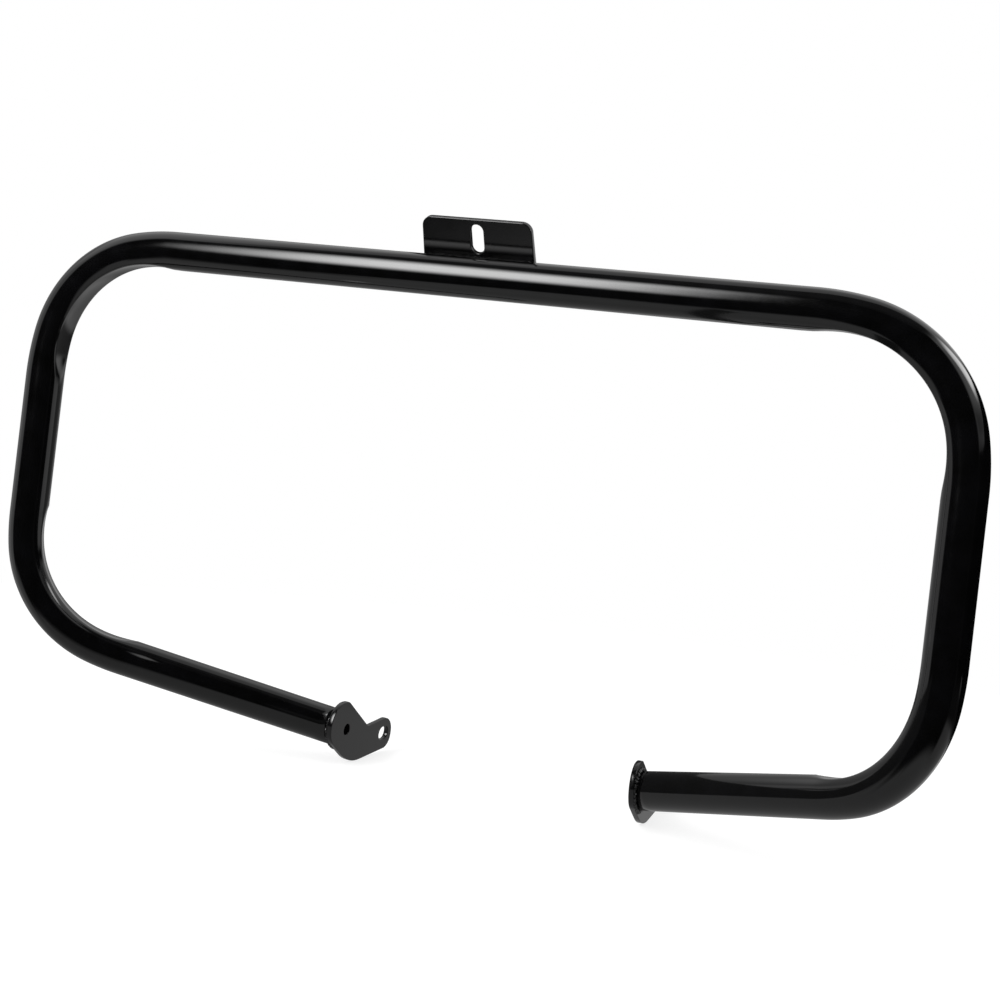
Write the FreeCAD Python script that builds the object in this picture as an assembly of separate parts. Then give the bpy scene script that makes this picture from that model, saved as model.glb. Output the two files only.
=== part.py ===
import FreeCAD, Part
import math
import os

# An engine guard for a motorcycle: one bent steel tube, a slotted bracket on its top bar
# and a bolt-on plate at each end. Millimetres; +X to one side, +Y to the rear, +Z up.
# The origin is the middle of the top bar's axis. The right half is made and mirrored to the left.

Vector = FreeCAD.Vector

# Tube
tube_diameter = 31.75
tube_wall = 2.5
half_width = 381.5          # mid-plane to the axis of a side
side_height = 326.0         # top bar's axis to the corner of side and leg
leg_sweep = 31.5            # the leg turns this far from the cross direction to the rear, in degrees
leg_drop = 13.6             # and slopes down by this, in degrees
leg_length = 298.5          # corner to the inner face of the end plate

# Press bends: a tight middle arc and an easier arc at each end of it.
# The press tool leaves the inner side of a bend flat, this deep at the middle arc.
top_bend_radius = 96.0
top_bend_ease = 37.0        # length of each easier arc
top_bend_flat = 3.5
low_bend_radius = 102.5
low_bend_ease = 26.0
low_bend_flat = 3.0
ease_ratio = 2.0            # radius of an easier arc over that of the middle arc

# End plates
plate_thickness = 4.5
plate_toe = 3.0             # the plate's rear turns inward by this, in degrees
plate_lean = 2.3            # the plate's inner face turns down by this, in degrees
plate_front = 25.2          # the leg's axis to the front edge
plate_top = 25.2            # the leg's axis to the top edge
plate_bottom = 32.9         # the leg's axis to the lowest corner
bottom_corner_back = 16.5   # that corner's distance behind the leg's axis
front_low_corner = 6.0      # height below the axis at which the front edge turns back
top_flat_back = 1.0         # where the top edge turns down towards the tab
notch_back = 43.0
notch_down = 2.4
tab_back = 89.5             # the leg's axis to the rear end of the tab
tab_top = 2.2
tab_bottom = 27.2
edge_rounding = 0.6

vent_diameter = 10.0
vent_back = 3.0
tab_slot_width = 12.0
tab_slot_length = 17.0
tab_slot_back = 74.5
tab_slot_down = 13.2

# Top bracket: a strip that lies against the tube's rear and leans forward over it
bracket_width = 94.0
bracket_top_width = 90.5
bracket_height = 48.5
bracket_thickness = 4.5
bracket_lean = 27.0         # from upright, in degrees
bracket_below = 7.0         # how much of it lies below the line where it touches the tube
bracket_corner = 8.0
bracket_slot_width = 11.0
bracket_slot_length = 23.5
bracket_slot_margin = 4.0   # slot's upper end to the bracket's top edge

# Welds
end_bead_radius = 3.2
bracket_bead_radius = 3.4
bracket_bead_inset = 2.0    # the beads stop this far from each end of the bracket
bead_from_touch = 8.0       # each bead's centre above or below the line where the bracket touches the tube
upper_bead_forward = 1.4    # upper bead's centre in front of the bracket's front face
lower_bead_behind = 1.0     # lower bead's centre behind it

# Worked out from the sizes above
tube_radius = tube_diameter / 2
bore_radius = tube_radius - tube_wall
beyond = 4 * tube_diameter  # extra length of what is cut back to a face

sweep = math.radians(leg_sweep)
drop = math.radians(leg_drop)
toe = math.radians(plate_toe)
lean = math.radians(plate_lean)
tip = math.radians(bracket_lean)

top_corner = Vector(half_width, 0, 0)
low_corner = Vector(half_width, 0, -side_height)
leg_direction = Vector(-math.cos(drop) * math.cos(sweep), math.cos(drop) * math.sin(sweep), -math.sin(drop))
leg_foot = low_corner + leg_direction * leg_length

# The end plate's own directions: to the rear along it, up along it, and out through it
plate_rearward = Vector(-math.sin(toe), math.cos(toe), 0)
plate_upward = Vector(-math.sin(lean) * math.cos(toe), -math.sin(lean) * math.sin(toe), math.cos(lean))
plate_outward = plate_rearward.cross(plate_upward)

# The bracket's own directions: across, up along it, and forward out of its front face
bracket_rearward = Vector(0, math.cos(tip), math.sin(tip))
bracket_upward = Vector(0, -math.sin(tip), math.cos(tip))


class Bend:
    """One press bend at a corner of the route, between two straight runs."""

    def __init__(self, corner, come, leave, radius, ease, flat):
        self.come = come
        self.leave = leave
        self.radius = radius
        self.flat = flat
        self.turn = come.getAngle(leave)
        self.ease_turn = ease / (ease_ratio * radius)
        inward = leave - come * come.dot(leave)
        self.inward = inward.normalize()
        self.axis = come.cross(self.inward)
        # where the first easier arc ends, measured from its start along the run and inward
        easy = ease_ratio * radius
        along = easy * math.sin(self.ease_turn)
        aside = easy * (1 - math.cos(self.ease_turn))
        # centre of the middle arc in the same measure
        centre_along = along - radius * math.sin(self.ease_turn)
        centre_aside = aside + radius * math.cos(self.ease_turn)
        self.setback = centre_along + centre_aside * math.tan(self.turn / 2)
        self.start = corner - come * self.setback
        self.end = corner + leave * self.setback
        self.centre = self.start + come * centre_along + self.inward * centre_aside

    def spoke(self, angle):
        """Point of the middle arc after this much turn."""
        return self.centre + (self.come * math.sin(angle) - self.inward * math.cos(angle)) * self.radius

    def edges(self):
        """The three arcs, in order along the route."""
        easy = ease_ratio * self.radius
        half = self.ease_turn / 2
        first_centre = self.start + self.inward * easy
        first_middle = first_centre + (self.come * math.sin(half) - self.inward * math.cos(half)) * easy
        back_inward = self.leave.cross(self.axis) * -1
        last_centre = self.end + back_inward * easy
        last_middle = last_centre + (self.leave * -math.sin(half) - back_inward * math.cos(half)) * easy
        enter = self.spoke(self.ease_turn)
        leave = self.spoke(self.turn - self.ease_turn)
        return [Part.Arc(self.start, first_middle, enter).toShape(),
                Part.Arc(enter, self.spoke(self.turn / 2), leave).toShape(),
                Part.Arc(leave, last_middle, self.end).toShape()]


def mirrored(shape):
    return shape.mirror(Vector(0, 0, 0), Vector(1, 0, 0))


def rounded_outline(corners):
    """A closed wire of straight edges and arcs through corners given as x, y, radius."""
    edges = []
    last = None
    first = None
    for i in range(len(corners)):
        x, y, radius = corners[i]
        here = Vector(x, y, 0)
        before = Vector(corners[i - 1][0], corners[i - 1][1], 0) - here
        after = Vector(corners[(i + 1) % len(corners)][0], corners[(i + 1) % len(corners)][1], 0) - here
        before.normalize()
        after.normalize()
        half = before.getAngle(after) / 2
        middle = (before + after).normalize()
        start = here + before * (radius / math.tan(half))
        end = here + after * (radius / math.tan(half))
        bulge = here + middle * (radius / math.sin(half) - radius)
        if last is None:
            first = start
        else:
            edges.append(Part.LineSegment(last, start).toShape())
        edges.append(Part.Arc(start, bulge, end).toShape())
        last = end
    edges.append(Part.LineSegment(last, first).toShape())
    return Part.Wire(edges)


def slot_cut(length, width, depth, x, y, along_y):
    """A tool for a round-ended slot, centred at x, y and passing through a plate that is depth thick."""
    half_run = (length - width) / 2
    step = Vector(0, half_run, 0) if along_y else Vector(half_run, 0, 0)
    centre = Vector(x, y, -depth)
    size = Vector(width, 2 * half_run, 0) if along_y else Vector(2 * half_run, width, 0)
    tool = Part.makeBox(size.x, size.y, 3 * depth, centre - size * 0.5)
    for end in (centre + step, centre - step):
        tool = tool.fuse(Part.makeCylinder(width / 2, 3 * depth, end))
    return tool.removeSplitter()


def guard_bends():
    down = Vector(0, 0, -1)
    top = Bend(top_corner, Vector(1, 0, 0), down, top_bend_radius, top_bend_ease, top_bend_flat)
    low = Bend(low_corner, down, leg_direction, low_bend_radius, low_bend_ease, low_bend_flat)
    return top, low


def half_route(past_end):
    """Edges of the tube's axis from the mid-plane to the plate, and on by past_end."""
    top, low = guard_bends()
    stop = leg_foot + leg_direction * past_end
    edges = [Part.LineSegment(Vector(0, 0, 0), top.start).toShape()]
    edges += top.edges()
    edges.append(Part.LineSegment(top.end, low.start).toShape())
    edges += low.edges()
    edges.append(Part.LineSegment(low.end, stop).toShape())
    return edges


def half_rod(radius):
    """Half of a round rod along the route, its bends flattened and its end cut to the plate."""
    section = Part.Wire([Part.makeCircle(radius, Vector(0, 0, 0), Vector(1, 0, 0))])
    rod = Part.Wire(half_route(beyond)).makePipeShell([section], True, False)
    for bend in guard_bends():
        reach = bend.radius - radius + bend.flat
        height = 2 * tube_diameter
        rod = rod.cut(Part.makeCylinder(reach, height, bend.centre - bend.axis * (height / 2), bend.axis))
    return rod.cut(inside_of_plate(plate_thickness))


def inside_of_plate(depth):
    """A block that fills the space inboard of a plane, this far outward of the plate's inner face."""
    side = 6 * tube_diameter
    block = Part.makeBox(side, side, side, Vector(-side / 2, -side / 2, depth - side))
    block.Placement = plate_placement()
    return block


def plate_placement():
    return FreeCAD.Placement(leg_foot, FreeCAD.Rotation(plate_rearward, plate_upward, plate_outward, "XYZ"))


def guard_tube():
    half = half_rod(tube_radius).cut(half_rod(bore_radius))
    return half.fuse(mirrored(half)).removeSplitter()


def end_plate():
    outline = rounded_outline([
        (-plate_front, plate_top, 20),
        (top_flat_back, plate_top, 10),
        (notch_back, -notch_down, 10),
        (tab_back, tab_top, 15),
        (tab_back, -tab_bottom, 12),
        (bottom_corner_back, -plate_bottom, 55),
        (-plate_front, -front_low_corner, 18),
    ])
    plate = Part.Face(outline).extrude(Vector(0, 0, plate_thickness))
    rims = [e for e in plate.Edges if abs(e.BoundBox.ZMax - e.BoundBox.ZMin) < 0.001]
    plate = plate.makeFillet(edge_rounding, rims)
    vent = Part.makeCylinder(vent_diameter / 2, 3 * plate_thickness, Vector(vent_back, 0, -plate_thickness))
    slot = slot_cut(tab_slot_length, tab_slot_width, plate_thickness, tab_slot_back, -tab_slot_down, False)
    plate = plate.cut(vent).cut(slot)
    plate.Placement = plate_placement()
    return plate


def end_weld():
    """A bead round the leg where it meets the plate's outer face."""
    foot = leg_foot - leg_direction * (plate_thickness / abs(leg_direction.dot(plate_outward)))
    along = leg_direction - plate_outward * leg_direction.dot(plate_outward)
    along.normalize()
    across = plate_outward.cross(along)
    long_radius = tube_radius / abs(leg_direction.dot(plate_outward))
    ring = Part.Ellipse(foot + along * long_radius, foot + across * tube_radius, foot).toShape()
    section = Part.Wire([Part.makeCircle(end_bead_radius, foot + along * long_radius, across)])
    bead = Part.Wire([ring]).makePipeShell([section], True, False)
    solid_leg = Part.makeCylinder(tube_radius, 2 * beyond, foot - leg_direction * beyond, leg_direction)
    return bead.cut(solid_leg).cut(inside_of_plate(plate_thickness))


def bracket_placement():
    touch = bracket_rearward * tube_radius
    turned = FreeCAD.Rotation(Vector(1, 0, 0), bracket_upward, bracket_rearward * -1, "XYZ")
    return FreeCAD.Placement(touch, turned)


def top_bracket():
    top = bracket_height - bracket_below
    outline = rounded_outline([
        (-bracket_top_width / 2, top, bracket_corner),
        (bracket_top_width / 2, top, bracket_corner),
        (bracket_width / 2, -bracket_below, edge_rounding),
        (-bracket_width / 2, -bracket_below, edge_rounding),
    ])
    plate = Part.Face(outline).extrude(Vector(0, 0, -bracket_thickness))
    rims = [e for e in plate.Edges if abs(e.BoundBox.ZMax - e.BoundBox.ZMin) < 0.001]
    plate = plate.makeFillet(edge_rounding * 0.9, rims)
    slot_up = top - bracket_slot_margin - bracket_slot_length / 2
    plate = plate.cut(slot_cut(bracket_slot_length, bracket_slot_width, bracket_thickness, 0, slot_up, True))
    plate.Placement = bracket_placement()
    return plate


def bracket_weld(up, forward, bracket):
    """A bead along the bracket, its centre this far above the touching line and before the front face."""
    centre = bracket_rearward * (tube_radius - forward) + bracket_upward * up
    length = bracket_width - 2 * bracket_bead_inset
    run = length - 2 * bracket_bead_radius
    bead = Part.makeCylinder(bracket_bead_radius, run, centre - Vector(run / 2, 0, 0), Vector(1, 0, 0))
    for end in (-run / 2, run / 2):
        bead = bead.fuse(Part.makeSphere(bracket_bead_radius, centre + Vector(end, 0, 0)))
    bead = bead.removeSplitter()
    bar = Part.makeCylinder(tube_radius, 2 * length, Vector(-length, 0, 0), Vector(1, 0, 0))
    return bead.cut(bar).cut(bracket)


def save(name, shape):
    if not shape.isValid():
        print(name, "is not valid")
    print(name, "solids", len(shape.Solids), "volume", round(shape.Volume, 1))
    shape.exportStep("parts/" + name + ".step")


os.makedirs("parts", exist_ok=True)
right_plate = end_plate()
right_weld = end_weld()
bracket = top_bracket()
save("guard_tube", guard_tube())
save("right_end_plate", right_plate)
save("left_end_plate", mirrored(right_plate))
save("right_end_weld", right_weld)
save("left_end_weld", mirrored(right_weld))
save("top_bracket", bracket)
save("bracket_upper_weld", bracket_weld(bead_from_touch, upper_bead_forward, bracket))
save("bracket_lower_weld", bracket_weld(-bead_from_touch, -lower_bead_behind, bracket))
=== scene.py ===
import bmesh
import bpy
import math
import numpy as np
from mathutils import Matrix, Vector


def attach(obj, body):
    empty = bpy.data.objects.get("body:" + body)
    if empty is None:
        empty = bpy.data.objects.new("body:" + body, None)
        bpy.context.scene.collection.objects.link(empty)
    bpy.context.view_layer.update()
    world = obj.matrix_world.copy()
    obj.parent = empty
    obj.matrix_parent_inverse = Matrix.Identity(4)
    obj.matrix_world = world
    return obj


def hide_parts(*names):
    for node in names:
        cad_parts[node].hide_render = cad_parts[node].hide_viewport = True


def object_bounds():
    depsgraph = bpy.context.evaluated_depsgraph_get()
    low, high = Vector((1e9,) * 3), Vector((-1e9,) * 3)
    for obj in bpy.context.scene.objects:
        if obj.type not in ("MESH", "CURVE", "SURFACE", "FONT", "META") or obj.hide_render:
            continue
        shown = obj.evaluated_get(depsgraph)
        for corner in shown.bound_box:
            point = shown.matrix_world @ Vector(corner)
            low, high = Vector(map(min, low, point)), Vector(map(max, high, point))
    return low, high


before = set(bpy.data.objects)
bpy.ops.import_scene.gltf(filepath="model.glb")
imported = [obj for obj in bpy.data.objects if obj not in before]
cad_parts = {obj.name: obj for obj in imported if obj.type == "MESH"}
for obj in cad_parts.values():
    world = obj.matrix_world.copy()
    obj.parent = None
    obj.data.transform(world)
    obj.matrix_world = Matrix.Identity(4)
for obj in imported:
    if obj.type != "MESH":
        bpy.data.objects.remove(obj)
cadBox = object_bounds()
scene = bpy.context.scene


# small helpers

def linear(code):
    # sRGB hex to the linear colour that shaders take
    parts = [int(code[i:i + 2], 16) / 255 for i in (0, 2, 4)]
    return [p / 12.92 if p <= 0.04045 else ((p + 0.055) / 1.055) ** 2.4 for p in parts] + [1.0]


def add(tree, kind, inputs=None, **settings):
    # one shader node, with its settings, and values or links for its inputs
    node = tree.nodes.new(kind)
    for key, value in settings.items():
        setattr(node, key, value)
    for key, value in (inputs or {}).items():
        if isinstance(value, bpy.types.NodeSocket):
            tree.links.new(value, node.inputs[key])
        else:
            node.inputs[key].default_value = value
    return node


def twoTones(tree, factor, codes):
    # a slow change between two colours as the factor goes from 0.3 to 0.7
    node = add(tree, "ShaderNodeValToRGB", {"Fac": factor})
    for mark, place, code in zip(node.color_ramp.elements, (0.3, 0.7), codes):
        mark.position = place
        mark.color = linear(code)
    return node.outputs["Color"]


def newMaterial(name):
    material = bpy.data.materials.new(name)
    material.use_nodes = True
    material.node_tree.nodes.clear()
    return material, material.node_tree


def addMesh(name, points, faces, material, smooth=True):
    mesh = bpy.data.meshes.new(name)
    mesh.from_pydata(points.tolist(), [], faces)
    mesh.materials.append(material)
    mesh.polygons.foreach_set("use_smooth", [smooth] * len(mesh.polygons))
    mesh.update()
    thing = bpy.data.objects.new(name, mesh)
    scene.collection.objects.link(thing)
    return thing


def faceOutwards(mesh, merge=0.0):
    # turns a closed shell's faces outwards, once its points within the merge distance are joined
    shell = bmesh.new()
    shell.from_mesh(mesh)
    if merge:
        bmesh.ops.remove_doubles(shell, verts=shell.verts, dist=merge)
    bmesh.ops.recalc_face_normals(shell, faces=shell.faces)
    shell.to_mesh(mesh)
    shell.free()


def gridFaces(rows, columns, closeRows=False, closeColumns=False):
    # quads over a grid whose points are numbered row by row
    i = np.arange(rows if closeRows else rows - 1)
    j = np.arange(columns if closeColumns else columns - 1)
    i, j = np.meshgrid(i, j, indexing="ij")
    down = (i + 1) % rows
    right = (j + 1) % columns
    corners = [i * columns + j, down * columns + j, down * columns + right, i * columns + right]
    return np.stack(corners, -1).reshape(-1, 4).tolist()


def smoothStep(x):
    x = np.clip(x, 0, 1)
    return x * x * (3 - 2 * x)


def unit(v):
    return v / np.linalg.norm(v, axis=-1, keepdims=True)


# powder coat

# peel is how wide the lumps of the orange peel are, and how high
coatLooks = {
    "tube": {"colours": ("030303", "060607"), "peel": (0.0024, 0.000004), "roughness": (0.07, 0.12)},
    "plate": {"colours": ("040404", "080809"), "peel": (0.0028, 0.000007), "roughness": (0.10, 0.17)},
    "weld": {"colours": ("030303", "070708"), "peel": (0.0013, 0.00015), "roughness": (0.05, 0.09)},
}
coatGrain = {"flow": 0.018, "speck": 0.0007, "mixed": (0.12, 0.42)}


def powderCoat(name, look):
    # gloss black powder coat: the low lumps of its orange peel bend reflections slightly
    material, tree = newMaterial(name)
    place = add(tree, "ShaderNodeTexCoord").outputs["Object"]

    def noise(size, **detail):
        return add(tree, "ShaderNodeTexNoise", {"Vector": place, "Scale": 1 / size, **detail}).outputs["Fac"]

    width, height = look["peel"]
    peel = noise(width, Detail=1.5, Roughness=0.45)
    flow = noise(coatGrain["flow"], Detail=2.0)
    specks = noise(coatGrain["speck"], Detail=1.0)
    bump = add(tree, "ShaderNodeBump", {"Height": peel, "Distance": height, "Strength": 1.0})
    mixed = add(tree, "ShaderNodeMath", {0: flow, 1: specks}, operation="MULTIPLY")
    rough = add(tree, "ShaderNodeMapRange", {
        "Value": mixed.outputs[0], "From Min": coatGrain["mixed"][0], "From Max": coatGrain["mixed"][1],
        "To Min": look["roughness"][0], "To Max": look["roughness"][1]})
    shade = add(tree, "ShaderNodeBsdfPrincipled", {
        "Base Color": twoTones(tree, flow, look["colours"]), "Roughness": rough.outputs["Result"],
        "Normal": bump.outputs["Normal"], "IOR": 1.5})
    add(tree, "ShaderNodeOutputMaterial", {"Surface": shade.outputs["BSDF"]})
    return material


tubeCoat = powderCoat("tubePowderCoat", coatLooks["tube"])
plateCoat = powderCoat("platePowderCoat", coatLooks["plate"])
weldCoat = powderCoat("weldPowderCoat", coatLooks["weld"])
print("powder coats made")


# the bent tube

tube = {
    "radius": 0.015875, "wall": 0.0025, "halfWidth": 0.3815, "height": 0.326,
    "sweep": math.radians(31.5), "drop": math.radians(13.6), "leg": 0.2985,
    # points in each ring, the rings' spacing in bends, bar or leg, and side, and the last one's place
    "around": 128, "bendStep": 0.002, "runStep": 0.008, "sideStep": 0.006, "lastRing": 0.018,
    # the pressed side's soft edges, its dish, and the half width from which the dish is whole
    "soft": 0.0016, "dish": 0.0007, "dishWhole": 0.0095,
    # how much wider the easing arcs of a bend are, and a depth that no flat reaches
    "ease": 2.0, "noFlat": 1.0,
}
topBend = {"radius": 0.096, "ease": 0.037, "flat": 0.0035}
lowBend = {"radius": 0.1025, "ease": 0.026, "flat": 0.003}
# the outline's corners are (rearward, upward, rounding), from where the leg's axis meets the plate. the vent
# is (rearward, upward, width) and the slot (rearward, upward, length, width). all of these are in millimetres
plate = {
    "thickness": 0.0045, "toe": math.radians(3.0), "lean": math.radians(2.3), "rounding": 0.0006,
    "corners": [
        (-25.2, 25.2, 20), (1.0, 25.2, 10), (43.0, -2.4, 10), (89.5, 2.2, 15), (89.5, -27.2, 12),
        (16.5, -32.9, 55), (-25.2, -6.0, 18)],
    "vent": (3.0, 0.0, 10.0), "slot": (74.5, -13.2, 17.0, 12.0),
}

sweep, drop = tube["sweep"], tube["drop"]
legWay = np.array([-math.cos(drop) * math.cos(sweep), math.cos(drop) * math.sin(sweep), -math.sin(drop)])
topCorner = np.array([tube["halfWidth"], 0, 0])
lowCorner = np.array([tube["halfWidth"], 0, -tube["height"]])
legFoot = lowCorner + legWay * tube["leg"]
rearward = np.array([-math.sin(plate["toe"]), math.cos(plate["toe"]), 0])
leanIn, leanUp = math.sin(plate["lean"]), math.cos(plate["lean"])
upward = np.array([-leanIn * math.cos(plate["toe"]), -leanIn * math.sin(plate["toe"]), leanUp])
outward = np.cross(rearward, upward)
outerFace = legFoot + outward * plate["thickness"]


def bendPath(corner, come, leave, size):
    # stations round a press bend: its curve eases in over an arc of twice the radius, and out again.
    # depth is how far the inner side reaches before the flat cuts it off
    turn = math.acos(come @ leave)
    side = unit(leave - come * (come @ leave))
    easy = size["radius"] * tube["ease"]
    easyTurn = size["ease"] / easy
    length = 2 * size["ease"] + (turn - 2 * easyTurn) * size["radius"]
    run = np.linspace(0, length, 2 + int(length / tube["bendStep"]))
    marks = [0, size["ease"], length - size["ease"], length]
    angle = np.interp(run, marks, [0, easyTurn, turn - easyTurn, turn])
    half = np.diff(angle) / 2
    middle = (angle[1:] + angle[:-1]) / 2
    chord = np.diff(run) * np.sin(half) / half
    along = np.concatenate([[0], np.cumsum(chord * np.cos(middle))])
    aside = np.concatenate([[0], np.cumsum(chord * np.sin(middle))])
    setback = aside[-1] / math.sin(turn)
    points = corner - come * setback + np.outer(along, come) + np.outer(aside, side)
    tangents = np.outer(np.cos(angle), come) + np.outer(np.sin(angle), side)
    inward = np.outer(-np.sin(angle), come) + np.outer(np.cos(angle), side)
    centreAlong = easy * math.sin(easyTurn) - size["radius"] * math.sin(easyTurn)
    centreAside = easy * (1 - math.cos(easyTurn)) + size["radius"] * math.cos(easyTurn)
    centre = corner - come * (setback - centreAlong) + side * centreAside
    toCentre = centre - points
    ahead = np.sum(toCentre * tangents, 1)
    inside = np.sum(toCentre * inward, 1)
    reach = size["radius"] - tube["radius"] + size["flat"]
    depth = inside - np.sqrt(np.maximum(reach ** 2 - ahead ** 2, 0))
    return points, inward, np.cross(tangents, inward), depth


def straightPath(start, end, spacing, inward, way):
    count = max(2, int(np.linalg.norm(end - start) / spacing))
    share = np.linspace(0, 1, count + 1)[1:-1, None]
    points = start + (end - start) * share
    sideways = np.cross(way, inward)
    depth = np.full(len(points), tube["noFlat"])
    return points, np.tile(inward, (len(points), 1)), np.tile(sideways, (len(points), 1)), depth


def halfStations():
    # the right half's stations from the mid-plane to just short of the plate
    down = np.array([0, 0, -1.0])
    across = np.array([1.0, 0, 0])
    top = bendPath(topCorner, across, down, topBend)
    low = bendPath(lowCorner, down, legWay, lowBend)
    middle = np.zeros((1, 3))
    first = (middle, top[1][:1], top[2][:1], np.full(1, tube["noFlat"]))
    bar = straightPath(middle[0], top[0][0], tube["runStep"], top[1][0], across)
    sideRun = straightPath(top[0][-1], low[0][0], tube["sideStep"], top[1][-1], down)
    legEnd = legFoot - legWay * tube["lastRing"]
    legRun = straightPath(low[0][-1], legEnd, tube["runStep"], low[1][-1], legWay)
    parts = [first, bar, top, sideRun, low, legRun]
    # the flat of the lower bend is turned by the sweep from that of the top bend
    turned = [0, 0, 0, 0, tube["sweep"], tube["sweep"]]
    stations = [np.concatenate([p[k] for p in parts]) for k in range(4)]
    return stations, np.concatenate([np.full(len(p[0]), t) for p, t in zip(parts, turned)])


def softLess(a, b, soft):
    # the lesser of two, with the corner between them rounded off
    mix = np.clip(0.5 + 0.5 * (b - a) / soft, 0, 1)
    return b + (a - b) * mix - soft * mix * (1 - mix)


def tubeRings(radius, depthLoss):
    # rings of points from the mid-plane outwards, the last one cut along the plate
    (points, inward, sideways, depth), turned = halfStations()
    depth = (depth - depthLoss)[:, None]
    angle = np.arange(tube["around"]) * 2 * np.pi / tube["around"] - turned[:, None]
    # the pressed side is dished a little between its two edges, which lie to either side of the middle
    edge = np.sqrt(np.maximum(radius ** 2 - np.maximum(depth, 0) ** 2, 1e-8))
    aside = radius * np.sin(angle) / edge
    dish = tube["dish"] * np.minimum(edge / tube["dishWhole"], 1) ** 2 * np.maximum(1 - aside ** 2, 0)
    reach = softLess(radius * np.cos(angle), depth - dish, tube["soft"])
    aside = radius * np.sin(angle)
    rings = points[:, None] + reach[..., None] * inward[:, None] + aside[..., None] * sideways[:, None]
    last = rings[-1]
    slide = ((outerFace - last) @ outward) / (legWay @ outward)
    return np.concatenate([rings, (last + slide[:, None] * legWay)[None]])


def bothHalves(rings):
    return np.concatenate([rings[:0:-1] * [-1, 1, 1], rings])


outer = bothHalves(tubeRings(tube["radius"], 0))
boreRings = tubeRings(tube["radius"] - tube["wall"], tube["wall"])
# the bore takes every other ring, and its last one
bore = bothHalves(np.concatenate([boreRings[:-1:2], boreRings[-1:]]))
tubeShell = np.concatenate([outer, bore[::-1]])
shellFaces = gridFaces(len(tubeShell), tube["around"], True, True)
guardTube = addMesh("guardTube", tubeShell.reshape(-1, 3), shellFaces, tubeCoat)
faceOutwards(guardTube.data)
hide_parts("guard_tube")
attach(guardTube, "root")
print("tube", len(tubeShell), "rings")


# plates

def roundedOutline(corners, arcStep=0.25):
    # points along a closed outline with an arc at each corner, in the corners' own unit
    spots = []
    for i in range(len(corners)):
        x, y, radius = corners[i]
        here = np.array([x, y], float)
        before = unit(np.array(corners[i - 1][:2], float) - here)
        after = unit(np.array(corners[(i + 1) % len(corners)][:2], float) - here)
        half = math.acos(np.clip(before @ after, -1, 1)) / 2
        centre = here + unit(before + after) * radius / math.sin(half)
        start = here + before * radius / math.tan(half) - centre
        end = here + after * radius / math.tan(half) - centre
        turn = math.atan2(start[0] * end[1] - start[1] * end[0], start @ end)
        count = max(6, int(abs(turn) * radius / arcStep))
        a = np.linspace(0, turn, count + 1)[:, None]
        spots.append(centre + start * np.cos(a) + np.array([-start[1], start[0]]) * np.sin(a))
    return np.concatenate(spots)


def slotOutline(x, y, length, width, alongY=False, count=28):
    # a slot's outline, or a round hole's where length and width are the same
    a = np.linspace(-np.pi / 2, np.pi / 2, count)
    run = (length - width) / 2
    right = np.stack([run + width / 2 * np.cos(a), width / 2 * np.sin(a)], 1)
    loop = np.concatenate([right, -right])
    if run < 1e-6:
        loop = loop[:-1]
    return (loop[:, ::-1] if alongY else loop) + [x, y]


def cutPlate(name, loops, look, place):
    # a flat cut shape with all its rims rounded over, from closed outlines in millimetres
    curve = bpy.data.curves.new(name, "CURVE")
    curve.dimensions = "2D"
    curve.fill_mode = "BOTH"
    curve.extrude = look["thickness"] / 2 - look["rounding"]
    curve.bevel_depth = look["rounding"]
    curve.bevel_resolution = 3
    curve.offset = -look["rounding"]
    for loop in loops:
        spline = curve.splines.new("POLY")
        spline.points.add(len(loop) - 1)
        flat = np.zeros((len(loop), 4))
        flat[:, :2] = loop / 1000
        flat[:, 3] = 1
        spline.points.foreach_set("co", flat.ravel())
        spline.use_cyclic_u = True
    helper = bpy.data.objects.new(name + "Curve", curve)
    scene.collection.objects.link(helper)
    mesh = bpy.data.meshes.new_from_object(helper.evaluated_get(bpy.context.evaluated_depsgraph_get()))
    bpy.data.objects.remove(helper)
    bpy.data.curves.remove(curve)
    mesh.name = name
    mesh.transform(place @ Matrix.Translation((0, 0, look["thickness"] / 2)))
    # the curve's caps and rims are separate sheets until their edges are joined
    faceOutwards(mesh, 0.000002)
    # the flat faces are shaded flat, and the round rims smooth
    normals = np.zeros(len(mesh.polygons) * 3)
    mesh.polygons.foreach_get("normal", normals)
    rims = np.abs(normals.reshape(-1, 3) @ np.array(place.col[2][:3])) < 0.9999
    mesh.polygons.foreach_set("use_smooth", rims.tolist())
    mesh.materials.clear()
    mesh.materials.append(plateCoat)
    thing = bpy.data.objects.new(name, mesh)
    scene.collection.objects.link(thing)
    return thing


def placeOf(origin, x, y, z):
    return Matrix([[x[i], y[i], z[i], origin[i]] for i in range(3)] + [[0, 0, 0, 1]])


ventX, ventY, ventWidth = plate["vent"]
ventLoop = slotOutline(ventX, ventY, ventWidth, ventWidth)
plateLoops = [roundedOutline(plate["corners"]), ventLoop, slotOutline(*plate["slot"])]
mirror = Matrix.Diagonal((-1, 1, 1, 1))
for side in ("right", "left"):
    place = placeOf(legFoot, rearward, upward, outward)
    if side == "left":
        place = mirror @ place
    thing = cutPlate(side + "EndPlate", plateLoops, plate, place)
    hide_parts(side + "_end_plate")
    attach(thing, "root")

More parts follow.
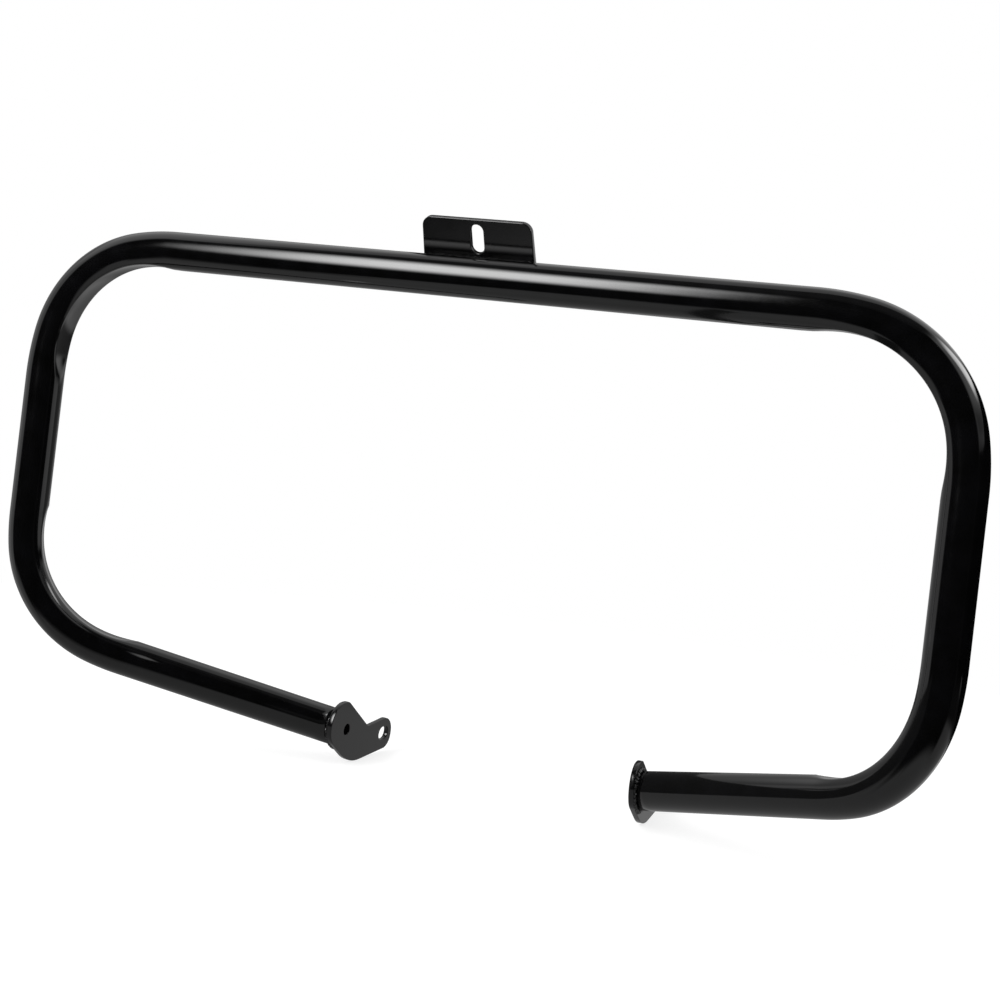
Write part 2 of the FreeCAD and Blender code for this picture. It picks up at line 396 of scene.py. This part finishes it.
# width, height, corners, slot (width, length) and the margin above it are in millimetres
bracket = {
    "width": 94.0, "topWidth": 90.5, "height": 48.5, "below": 7.0, "topCorner": 8.0, "lowCorner": 0.6,
    "slot": (11.0, 23.5), "margin": 4.0, "lean": math.radians(27.0), "thickness": 0.0045, "rounding": 0.0006,
}
bracketBack = np.array([0, math.cos(bracket["lean"]), math.sin(bracket["lean"])])
bracketUp = np.array([0, -math.sin(bracket["lean"]), math.cos(bracket["lean"])])
bracketTop = bracket["height"] - bracket["below"]
bracketOutline = roundedOutline([
    (-bracket["topWidth"] / 2, bracketTop, bracket["topCorner"]),
    (bracket["topWidth"] / 2, bracketTop, bracket["topCorner"]),
    (bracket["width"] / 2, -bracket["below"], bracket["lowCorner"]),
    (-bracket["width"] / 2, -bracket["below"], bracket["lowCorner"])])
slotWidth, slotLength = bracket["slot"]
slotUp = bracketTop - bracket["margin"] - slotLength / 2
bracketLoops = [bracketOutline[::-1], slotOutline(0, slotUp, slotLength, slotWidth, True)]
place = placeOf(bracketBack * (tube["radius"] + bracket["thickness"]), [1, 0, 0], bracketUp, -bracketBack)
topBracket = cutPlate("topBracket", bracketLoops, bracket, place)
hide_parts("top_bracket")
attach(topBracket, "root")
print("plates and bracket cut")


# welds

# under is how far the end beads run on below the surfaces that they join
weld = {"bead": 0.0032, "ripple": 0.0031, "height": 0.00085, "under": 0.0004, "rows": 560, "arc": 18}


def rippled(run, share):
    # how far the bead has sunk below its full height: each ripple rises slowly and ends in a steep step,
    # bowed forward in the middle of the bead, and slow waves make the bead uneven
    bow = 0.35 * np.sin(np.pi * share)
    phase = run / weld["ripple"] + bow + 0.12 * np.sin(run * 410) + 0.09 * np.sin(run * 937 + 1)
    saw = phase - np.floor(phase)
    ripple = 1 - smoothStep(saw / 0.75) * smoothStep((1 - saw) / 0.22)
    uneven = 0.5 + 0.25 * np.sin(run * 730 + 5 * share) + 0.25 * np.sin(run * 1210 - 8 * share + 2)
    return weld["height"] * (0.62 * ripple + 0.38 * uneven)


def endWeldPoints():
    # the bead's section is an arc from the plate to the tube about the line where they meet
    angle = np.linspace(0, 2 * np.pi, weld["rows"], endpoint=False)
    a = unit(np.cross(legWay, [0, 0, 1.0]))
    b = np.cross(legWay, a)
    radial = np.outer(np.cos(angle), a) + np.outer(np.sin(angle), b)
    root = legFoot + radial * tube["radius"]
    root = root + np.outer(((outerFace - root) @ outward) / (legWay @ outward), legWay)
    step = np.roll(root, -1, 0) - np.roll(root, 1, 0)
    flatOut = unit(np.cross(step, outward))
    flatOut = flatOut * np.sign(np.sum(flatOut * radial, 1))[:, None]
    run = np.concatenate([[0], np.cumsum(np.linalg.norm(np.diff(root, axis=0), axis=1))])
    share = np.linspace(0, 1, weld["arc"])
    up = -legWay
    between = np.arccos(np.clip(flatOut @ up, -1, 1))
    low = np.sin(between[:, None] * (1 - share)) / np.sin(between)[:, None]
    high = np.sin(between[:, None] * share) / np.sin(between)[:, None]
    ways = unit(low[..., None] * flatOut[:, None] + high[..., None] * up)
    size = weld["bead"] - rippled(run[:, None], share[None])
    surface = root[:, None] + ways * size[..., None]
    inside = root[:, None] - unit(flatOut + up)[:, None] * weld["under"]
    return np.concatenate([surface, inside], 1)


for side in ("right", "left"):
    points = endWeldPoints()
    if side == "left":
        points = points * [-1, 1, 1]
    faces = gridFaces(points.shape[0], points.shape[1], True, True)
    thing = addMesh(side + "EndWeld", points.reshape(-1, 3), faces, weldCoat)
    faceOutwards(thing.data)
    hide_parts(side + "_end_weld")
    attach(thing, "root")

# clear is the nearest that a bead comes to the tube's axis, and start moves on along the ripples
bracketBead = {
    "radius": 0.0034, "half": 0.045, "up": 0.008, "upperForward": 0.0014, "lowerBehind": 0.001,
    "columns": 40, "rows": 420, "clear": 0.0152, "start": 0.1, "tip": 0.00005,
}


def bracketWeldPoints(up, forward):
    # a sausage along the bracket, held out of the tube's bore and out of the bracket's rear
    size = bracketBead["radius"]
    centre = bracketBack * (tube["radius"] - forward) + bracketUp * up
    # the rows stand closer together towards both ends
    x = np.linspace(-1, 1, bracketBead["rows"])
    x = np.sin(x * np.pi / 2) * 0.12 + x * 0.88
    run = x * (bracketBead["half"] - bracketBead["tip"])
    fromEnd = bracketBead["half"] - np.abs(run)
    swell = np.sqrt(np.clip(1 - np.clip(1 - fromEnd / size, 0, 1) ** 2, 0, 1))
    angle = np.linspace(0, 2 * np.pi, bracketBead["columns"], endpoint=False)
    sunk = rippled(run[:, None] + bracketBead["start"], (0.5 + 0.5 * np.cos(angle))[None])
    radius = (size - sunk) * swell[:, None]
    ways = np.cos(angle)[:, None] * bracketBack + np.sin(angle)[:, None] * bracketUp
    points = centre + radius[..., None] * ways
    fromAxis = np.linalg.norm(points, axis=-1, keepdims=True)
    points = points * np.maximum(1, bracketBead["clear"] / fromAxis)
    points[..., 0] = run[:, None]
    return points


bracketBeads = {
    "upper": (bracketBead["up"], bracketBead["upperForward"]),
    "lower": (-bracketBead["up"], -bracketBead["lowerBehind"]),
}
for name, (up, forward) in bracketBeads.items():
    points = bracketWeldPoints(up, forward)
    rows, columns = points.shape[:2]
    numbers = list(range(rows * columns))
    ends = [numbers[:columns], numbers[:-columns - 1:-1]]
    faces = gridFaces(rows, columns, False, True) + ends
    thing = addMesh("bracket" + name.capitalize() + "Weld", points.reshape(-1, 3), faces, weldCoat)
    faceOutwards(thing.data)
    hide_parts("bracket_" + name + "_weld")
    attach(thing, "root")
print("welds laid")


# studio

studio = {"centre": (0, 0.05, -0.2), "floor": cadBox[0][2] - 0.0002, "dome": 3.0, "turns": 240, "climbs": 181}

# what the gloss sees round the object: cloths on a dome, each laid over the ones before it, white where
# there is none. directions are in degrees, azimuth from +Y towards +X, and the camera stands at azimuth 157.
# the third number is how softly the cloth fades out
cloths = {
    "farCeiling": {"azimuth": (-108, 60, 10), "elevation": (60, 200, 4), "level": 0.65},
    "frontCeiling": {"azimuth": (60, 258, 8), "elevation": (56, 200, 4), "level": 0.09},
    "frontCurtain": {"azimuth": (108, 245, 6), "elevation": (-60, 60, 6), "level": 0.010},
    "farWall": {"azimuth": (-84, 8, 6), "elevation": (-60, 33, 5), "level": 0.42},
    "leftWall": {"azimuth": (-112, -84, 5), "elevation": (-40, 24, 6), "level": 0.60},
    "rightWall": {"azimuth": (4, 48, 6), "elevation": (-18, 3, 3), "level": 0.20},
    "sideWall": {"azimuth": (52, 78, 4), "elevation": (-14, 3, 3), "level": 0.80},
    "sideCurtain": {"azimuth": (80, 112, 4), "elevation": (-27, 8, 4), "level": 0.015},
    "darkShelf": {"azimuth": (34, 107, 6), "elevation": (3, 12, 3), "level": 0.03},
    "greyShelf": {"azimuth": (62, 107, 6), "elevation": (12, 25, 5), "level": 0.32},
    "lowShelf": {"azimuth": (42, 107, 6), "elevation": (-27, -12, 3), "level": 0.04},
    "floor": {"azimuth": (-200, 200, 10), "elevation": (-200, -44, 6), "level": 0.5},
    "bracketFloor": {"azimuth": (-158, -138, 4), "elevation": (-60, -40, 3), "level": 0.5},
    "farFloor": {"azimuth": (-18, 26, 8), "elevation": (-75, -24, 6), "level": 0.8},
    "darkFloor": {"azimuth": (-95, -25, 8), "elevation": (-60, -36, 6), "level": 0.3},
    "rightFloor": {"azimuth": (36, 112, 7), "elevation": (-50, -26, 4), "level": 0.40},
    "leftFloor": {"azimuth": (-130, -100, 7), "elevation": (-50, -24, 5), "level": 0.48},
}
# each lamp is a sheet at a distance from its centre. reach is half its width and height in degrees, lean
# and flare slant its sides, and soft is the share of it over which it falls off
lamps = {
    "softbox": {
        "centre": studio["centre"], "distance": 2.4, "azimuth": -154, "elevation": 30, "reach": (12, 18),
        "lean": 0.18, "flare": 0.2, "soft": 0.65, "level": 14.0},
    "rimLight": {
        "centre": (0.36, 0, -0.03), "distance": 0.5, "azimuth": 61, "elevation": 40, "reach": (17, 14),
        "lean": 0.4, "flare": 0.0, "soft": 0.4, "level": 7.0},
    "kickLight": {
        "centre": (-0.33, 0.02, -0.35), "distance": 0.12, "azimuth": 103, "elevation": 33, "reach": (6, 5),
        "lean": 0.0, "flare": 0.0, "soft": 0.5, "level": 1.7},
}
sideLine = [(0.402, 0.10), (0.95, 0.12), (1.1, -0.05), (1.1, -0.3)]
flags = {
    "sideFlag": {"line": sideLine, "low": -0.335, "high": 0.03, "level": 0.004},
    "legFlag": {"line": [(0.1, -0.25), (0.1, 0.4)], "low": -0.401, "high": -0.29, "level": 0.07},
    "plateFlag": {"line": [(0.10, 0.30), (0.25, 0.30)], "low": -0.426, "high": -0.33, "level": 0.10},
    "slotFlag": {"line": [(-0.08, 0.045), (0.02, 0.045)], "low": 0.0, "high": 0.10, "level": 0.05},
}
nearFloor = {"across": (-0.44, 0.44), "along": (-0.115, 0.36), "soft": 0.08, "level": 0.42, "lift": 0.00005}


def domePoints(centre, distance, azimuth, elevation):
    a, e = np.radians(azimuth), np.radians(elevation)
    way = np.stack([np.sin(a) * np.cos(e), np.cos(a) * np.cos(e), np.sin(e)], -1)
    return (np.array(centre) + way * distance).reshape(-1, 3)


def fade(value, limits):
    # 1 between the two limits, falling softly to 0 across each of them
    low, high, soft = limits
    return smoothStep((value - low + soft) / (2 * soft)) * smoothStep((high + soft - value) / (2 * soft))


def keepInGloss(thing):
    # only reflections show it; it gives no light and casts no shade
    thing.visible_camera = False
    thing.visible_diffuse = False
    thing.visible_shadow = False
    thing.active_material.cycles.emission_sampling = "NONE"


def fromMesh(tree, name):
    return add(tree, "ShaderNodeAttribute", attribute_name=name).outputs["Fac"]


def writeOn(thing, name, values):
    # one number for each point of the mesh, for its material to read
    layer = thing.data.attributes.new(name, "FLOAT", "POINT")
    layer.data.foreach_set("value", values.ravel().astype(np.float32))


azimuth, elevation = np.meshgrid(
    np.arange(studio["turns"]) * 360 / studio["turns"], np.linspace(-90, 90, studio["climbs"]), indexing="ij")
level = np.ones_like(azimuth)
for cloth in cloths.values():
    low, high, soft = cloth["azimuth"]
    middle = (low + high) / 2
    nearMiddle = (azimuth - middle + 180) % 360 - 180 + middle
    cover = fade(nearMiddle, cloth["azimuth"]) * fade(elevation, cloth["elevation"])
    level = level + (cloth["level"] - level) * cover
clothLook, tree = newMaterial("studioCloth")
glow = add(tree, "ShaderNodeEmission", {"Strength": fromMesh(tree, "level")})
add(tree, "ShaderNodeOutputMaterial", {"Surface": glow.outputs[0]})
points = domePoints(studio["centre"], studio["dome"], azimuth, elevation)
dome = addMesh("studioDome", points, gridFaces(*azimuth.shape, True), clothLook)
writeOn(dome, "level", level)
keepInGloss(dome)

# flags close to the guard: one keeps the right side's outer rim black, one darkens the right leg's upper
# half, one the right plate, and one keeps the white behind the bracket's slot off the top bar
for name, look in flags.items():
    flag = np.array([(*spot, height) for height in (look["low"], look["high"]) for spot in look["line"]])
    flagLook, tree = newMaterial(name)
    glow = add(tree, "ShaderNodeEmission", {"Strength": look["level"]})
    add(tree, "ShaderNodeOutputMaterial", {"Surface": glow.outputs[0]})
    keepInGloss(addMesh(name, flag, gridFaces(2, len(look["line"])), flagLook))


def softSheet(name, points, cover, level):
    # a glowing sheet that is clear where cover is 0
    sheetLook, tree = newMaterial(name)
    glow = add(tree, "ShaderNodeEmission", {"Strength": fromMesh(tree, "level")})
    clear = add(tree, "ShaderNodeBsdfTransparent")
    shown = fromMesh(tree, "cover")
    mixed = add(tree, "ShaderNodeMixShader", {0: shown, 1: clear.outputs[0], 2: glow.outputs[0]})
    add(tree, "ShaderNodeOutputMaterial", {"Surface": mixed.outputs[0]})
    thing = addMesh(name, points, gridFaces(*cover.shape), sheetLook)
    writeOn(thing, "cover", cover)
    writeOn(thing, "level", np.full_like(cover, level))
    return thing


# the table close to the low tubes, as their gloss sees it
soft = nearFloor["soft"]
spans = [np.linspace(nearFloor[k][0] - soft, nearFloor[k][1] + soft, 60) for k in ("across", "along")]
across, along = np.meshgrid(*spans, indexing="ij")
cover = fade(across, (*nearFloor["across"], soft)) * fade(along, (*nearFloor["along"], soft))
heights = np.full_like(across, studio["floor"] + nearFloor["lift"])
points = np.stack([across, along, heights], -1).reshape(-1, 3)
keepInGloss(softSheet("nearFloor", points, cover, nearFloor["level"]))

for name, lamp in lamps.items():
    # nearly square lamps that fall off over their outer part
    soft = lamp["soft"]
    across, up = np.meshgrid(*[np.linspace(-1, 1, 40) * (1 + soft)] * 2, indexing="ij")
    fromMiddle = (across ** 4 + up ** 4) ** 0.25
    cover = smoothStep((1 + soft - fromMiddle) / (2 * soft))
    wide, high = lamp["reach"]
    elevation = lamp["elevation"] + up * high
    azimuth = lamp["azimuth"] + across * wide * (1 + lamp["flare"] * up) + lamp["lean"] * up * high
    points = domePoints(lamp["centre"], lamp["distance"], azimuth, elevation)
    thing = softSheet(name, points, cover, lamp["level"])
    if name == "softbox":
        # the one lamp that lights the scene
        thing.visible_camera = False
    else:
        keepInGloss(thing)

# white table: lit like any matt surface, with enough of its own white for the eye. the gloss looks past it
# at the dome's floor
tableLook = {
    "colours": ("9e9e9e", "a4a4a4"), "ownWhite": 0.74, "grain": 0.0012,
    "middle": (0.05, 0.3), "reach": (1.1, 1.0), "points": 96,
}
tablePaper, tree = newMaterial("tablePaper")
place = add(tree, "ShaderNodeTexCoord").outputs["Object"]
grain = add(tree, "ShaderNodeTexNoise", {"Vector": place, "Scale": 1 / tableLook["grain"], "Detail": 2.0})
matt = add(tree, "ShaderNodeBsdfDiffuse", {"Color": twoTones(tree, grain.outputs["Fac"], tableLook["colours"])})


def anyRay(tree, *kinds):
    # 1 for any of these kinds of ray
    ray = add(tree, "ShaderNodeLightPath")
    seen = ray.outputs[kinds[0]]
    for kind in kinds[1:]:
        seen = add(tree, "ShaderNodeMath", {0: seen, 1: ray.outputs[kind]}, operation="MAXIMUM").outputs[0]
    return seen


seen = anyRay(tree, "Is Transmission Ray", "Is Camera Ray")
own = add(tree, "ShaderNodeMath", {0: seen, 1: tableLook["ownWhite"]}, operation="MULTIPLY")
glow = add(tree, "ShaderNodeEmission", {"Strength": own.outputs[0]})
both = add(tree, "ShaderNodeAddShader", {0: matt.outputs[0], 1: glow.outputs[0]})
add(tree, "ShaderNodeOutputMaterial", {"Surface": both.outputs[0]})

angle = np.linspace(0, 2 * np.pi, tableLook["points"], endpoint=False)
rimX = tableLook["middle"][0] + np.cos(angle) * tableLook["reach"][0]
rimY = tableLook["middle"][1] + np.sin(angle) * tableLook["reach"][1]
rim = np.stack([rimX, rimY, np.full_like(angle, studio["floor"])], 1)
table = addMesh("table", rim, [list(range(len(rim)))], tablePaper, False)
table.visible_glossy = False

# a world that is white to the eye and to the gloss, and lights the rest a little less
worldLevel = {"light": 0.7, "seen": 1.0}
world = bpy.data.worlds.new("whiteStudio")
world.use_nodes = True
scene.world = world
tree = world.node_tree
tree.nodes.clear()
seen = anyRay(tree, "Is Camera Ray", "Is Glossy Ray", "Is Transmission Ray")
level = add(tree, "ShaderNodeMapRange", {
    "Value": seen, "To Min": worldLevel["light"], "To Max": worldLevel["seen"]})
background = add(tree, "ShaderNodeBackground", {"Color": (1, 1, 1, 1), "Strength": level.outputs["Result"]})
add(tree, "ShaderNodeOutputWorld", {"Surface": background.outputs[0]})
print("studio set up")


# camera at the photograph's angle

shot = {
    "place": (0.49891, -1.16738, -0.08219), "yaw": 21.948, "pitch": 0.208, "roll": 6.70,
    "lens": 59.61, "sensor": 36, "shift": (0.0064, -0.1175),
}
lens = bpy.data.cameras.new("camera")
lens.lens = shot["lens"]
lens.sensor_width = shot["sensor"]
lens.shift_x, lens.shift_y = shot["shift"]
camera = bpy.data.objects.new("camera", lens)
scene.collection.objects.link(camera)
yaw, pitch, roll = (math.radians(shot[k]) for k in ("yaw", "pitch", "roll"))
aim = Matrix.Rotation(yaw, 4, "Z") @ Matrix.Rotation(math.pi / 2 + pitch, 4, "X")
camera.matrix_world = Matrix.Translation(shot["place"]) @ aim @ Matrix.Rotation(roll, 4, "Z")
scene.camera = camera
scene.view_settings.view_transform = "Standard"

print("scene ready")
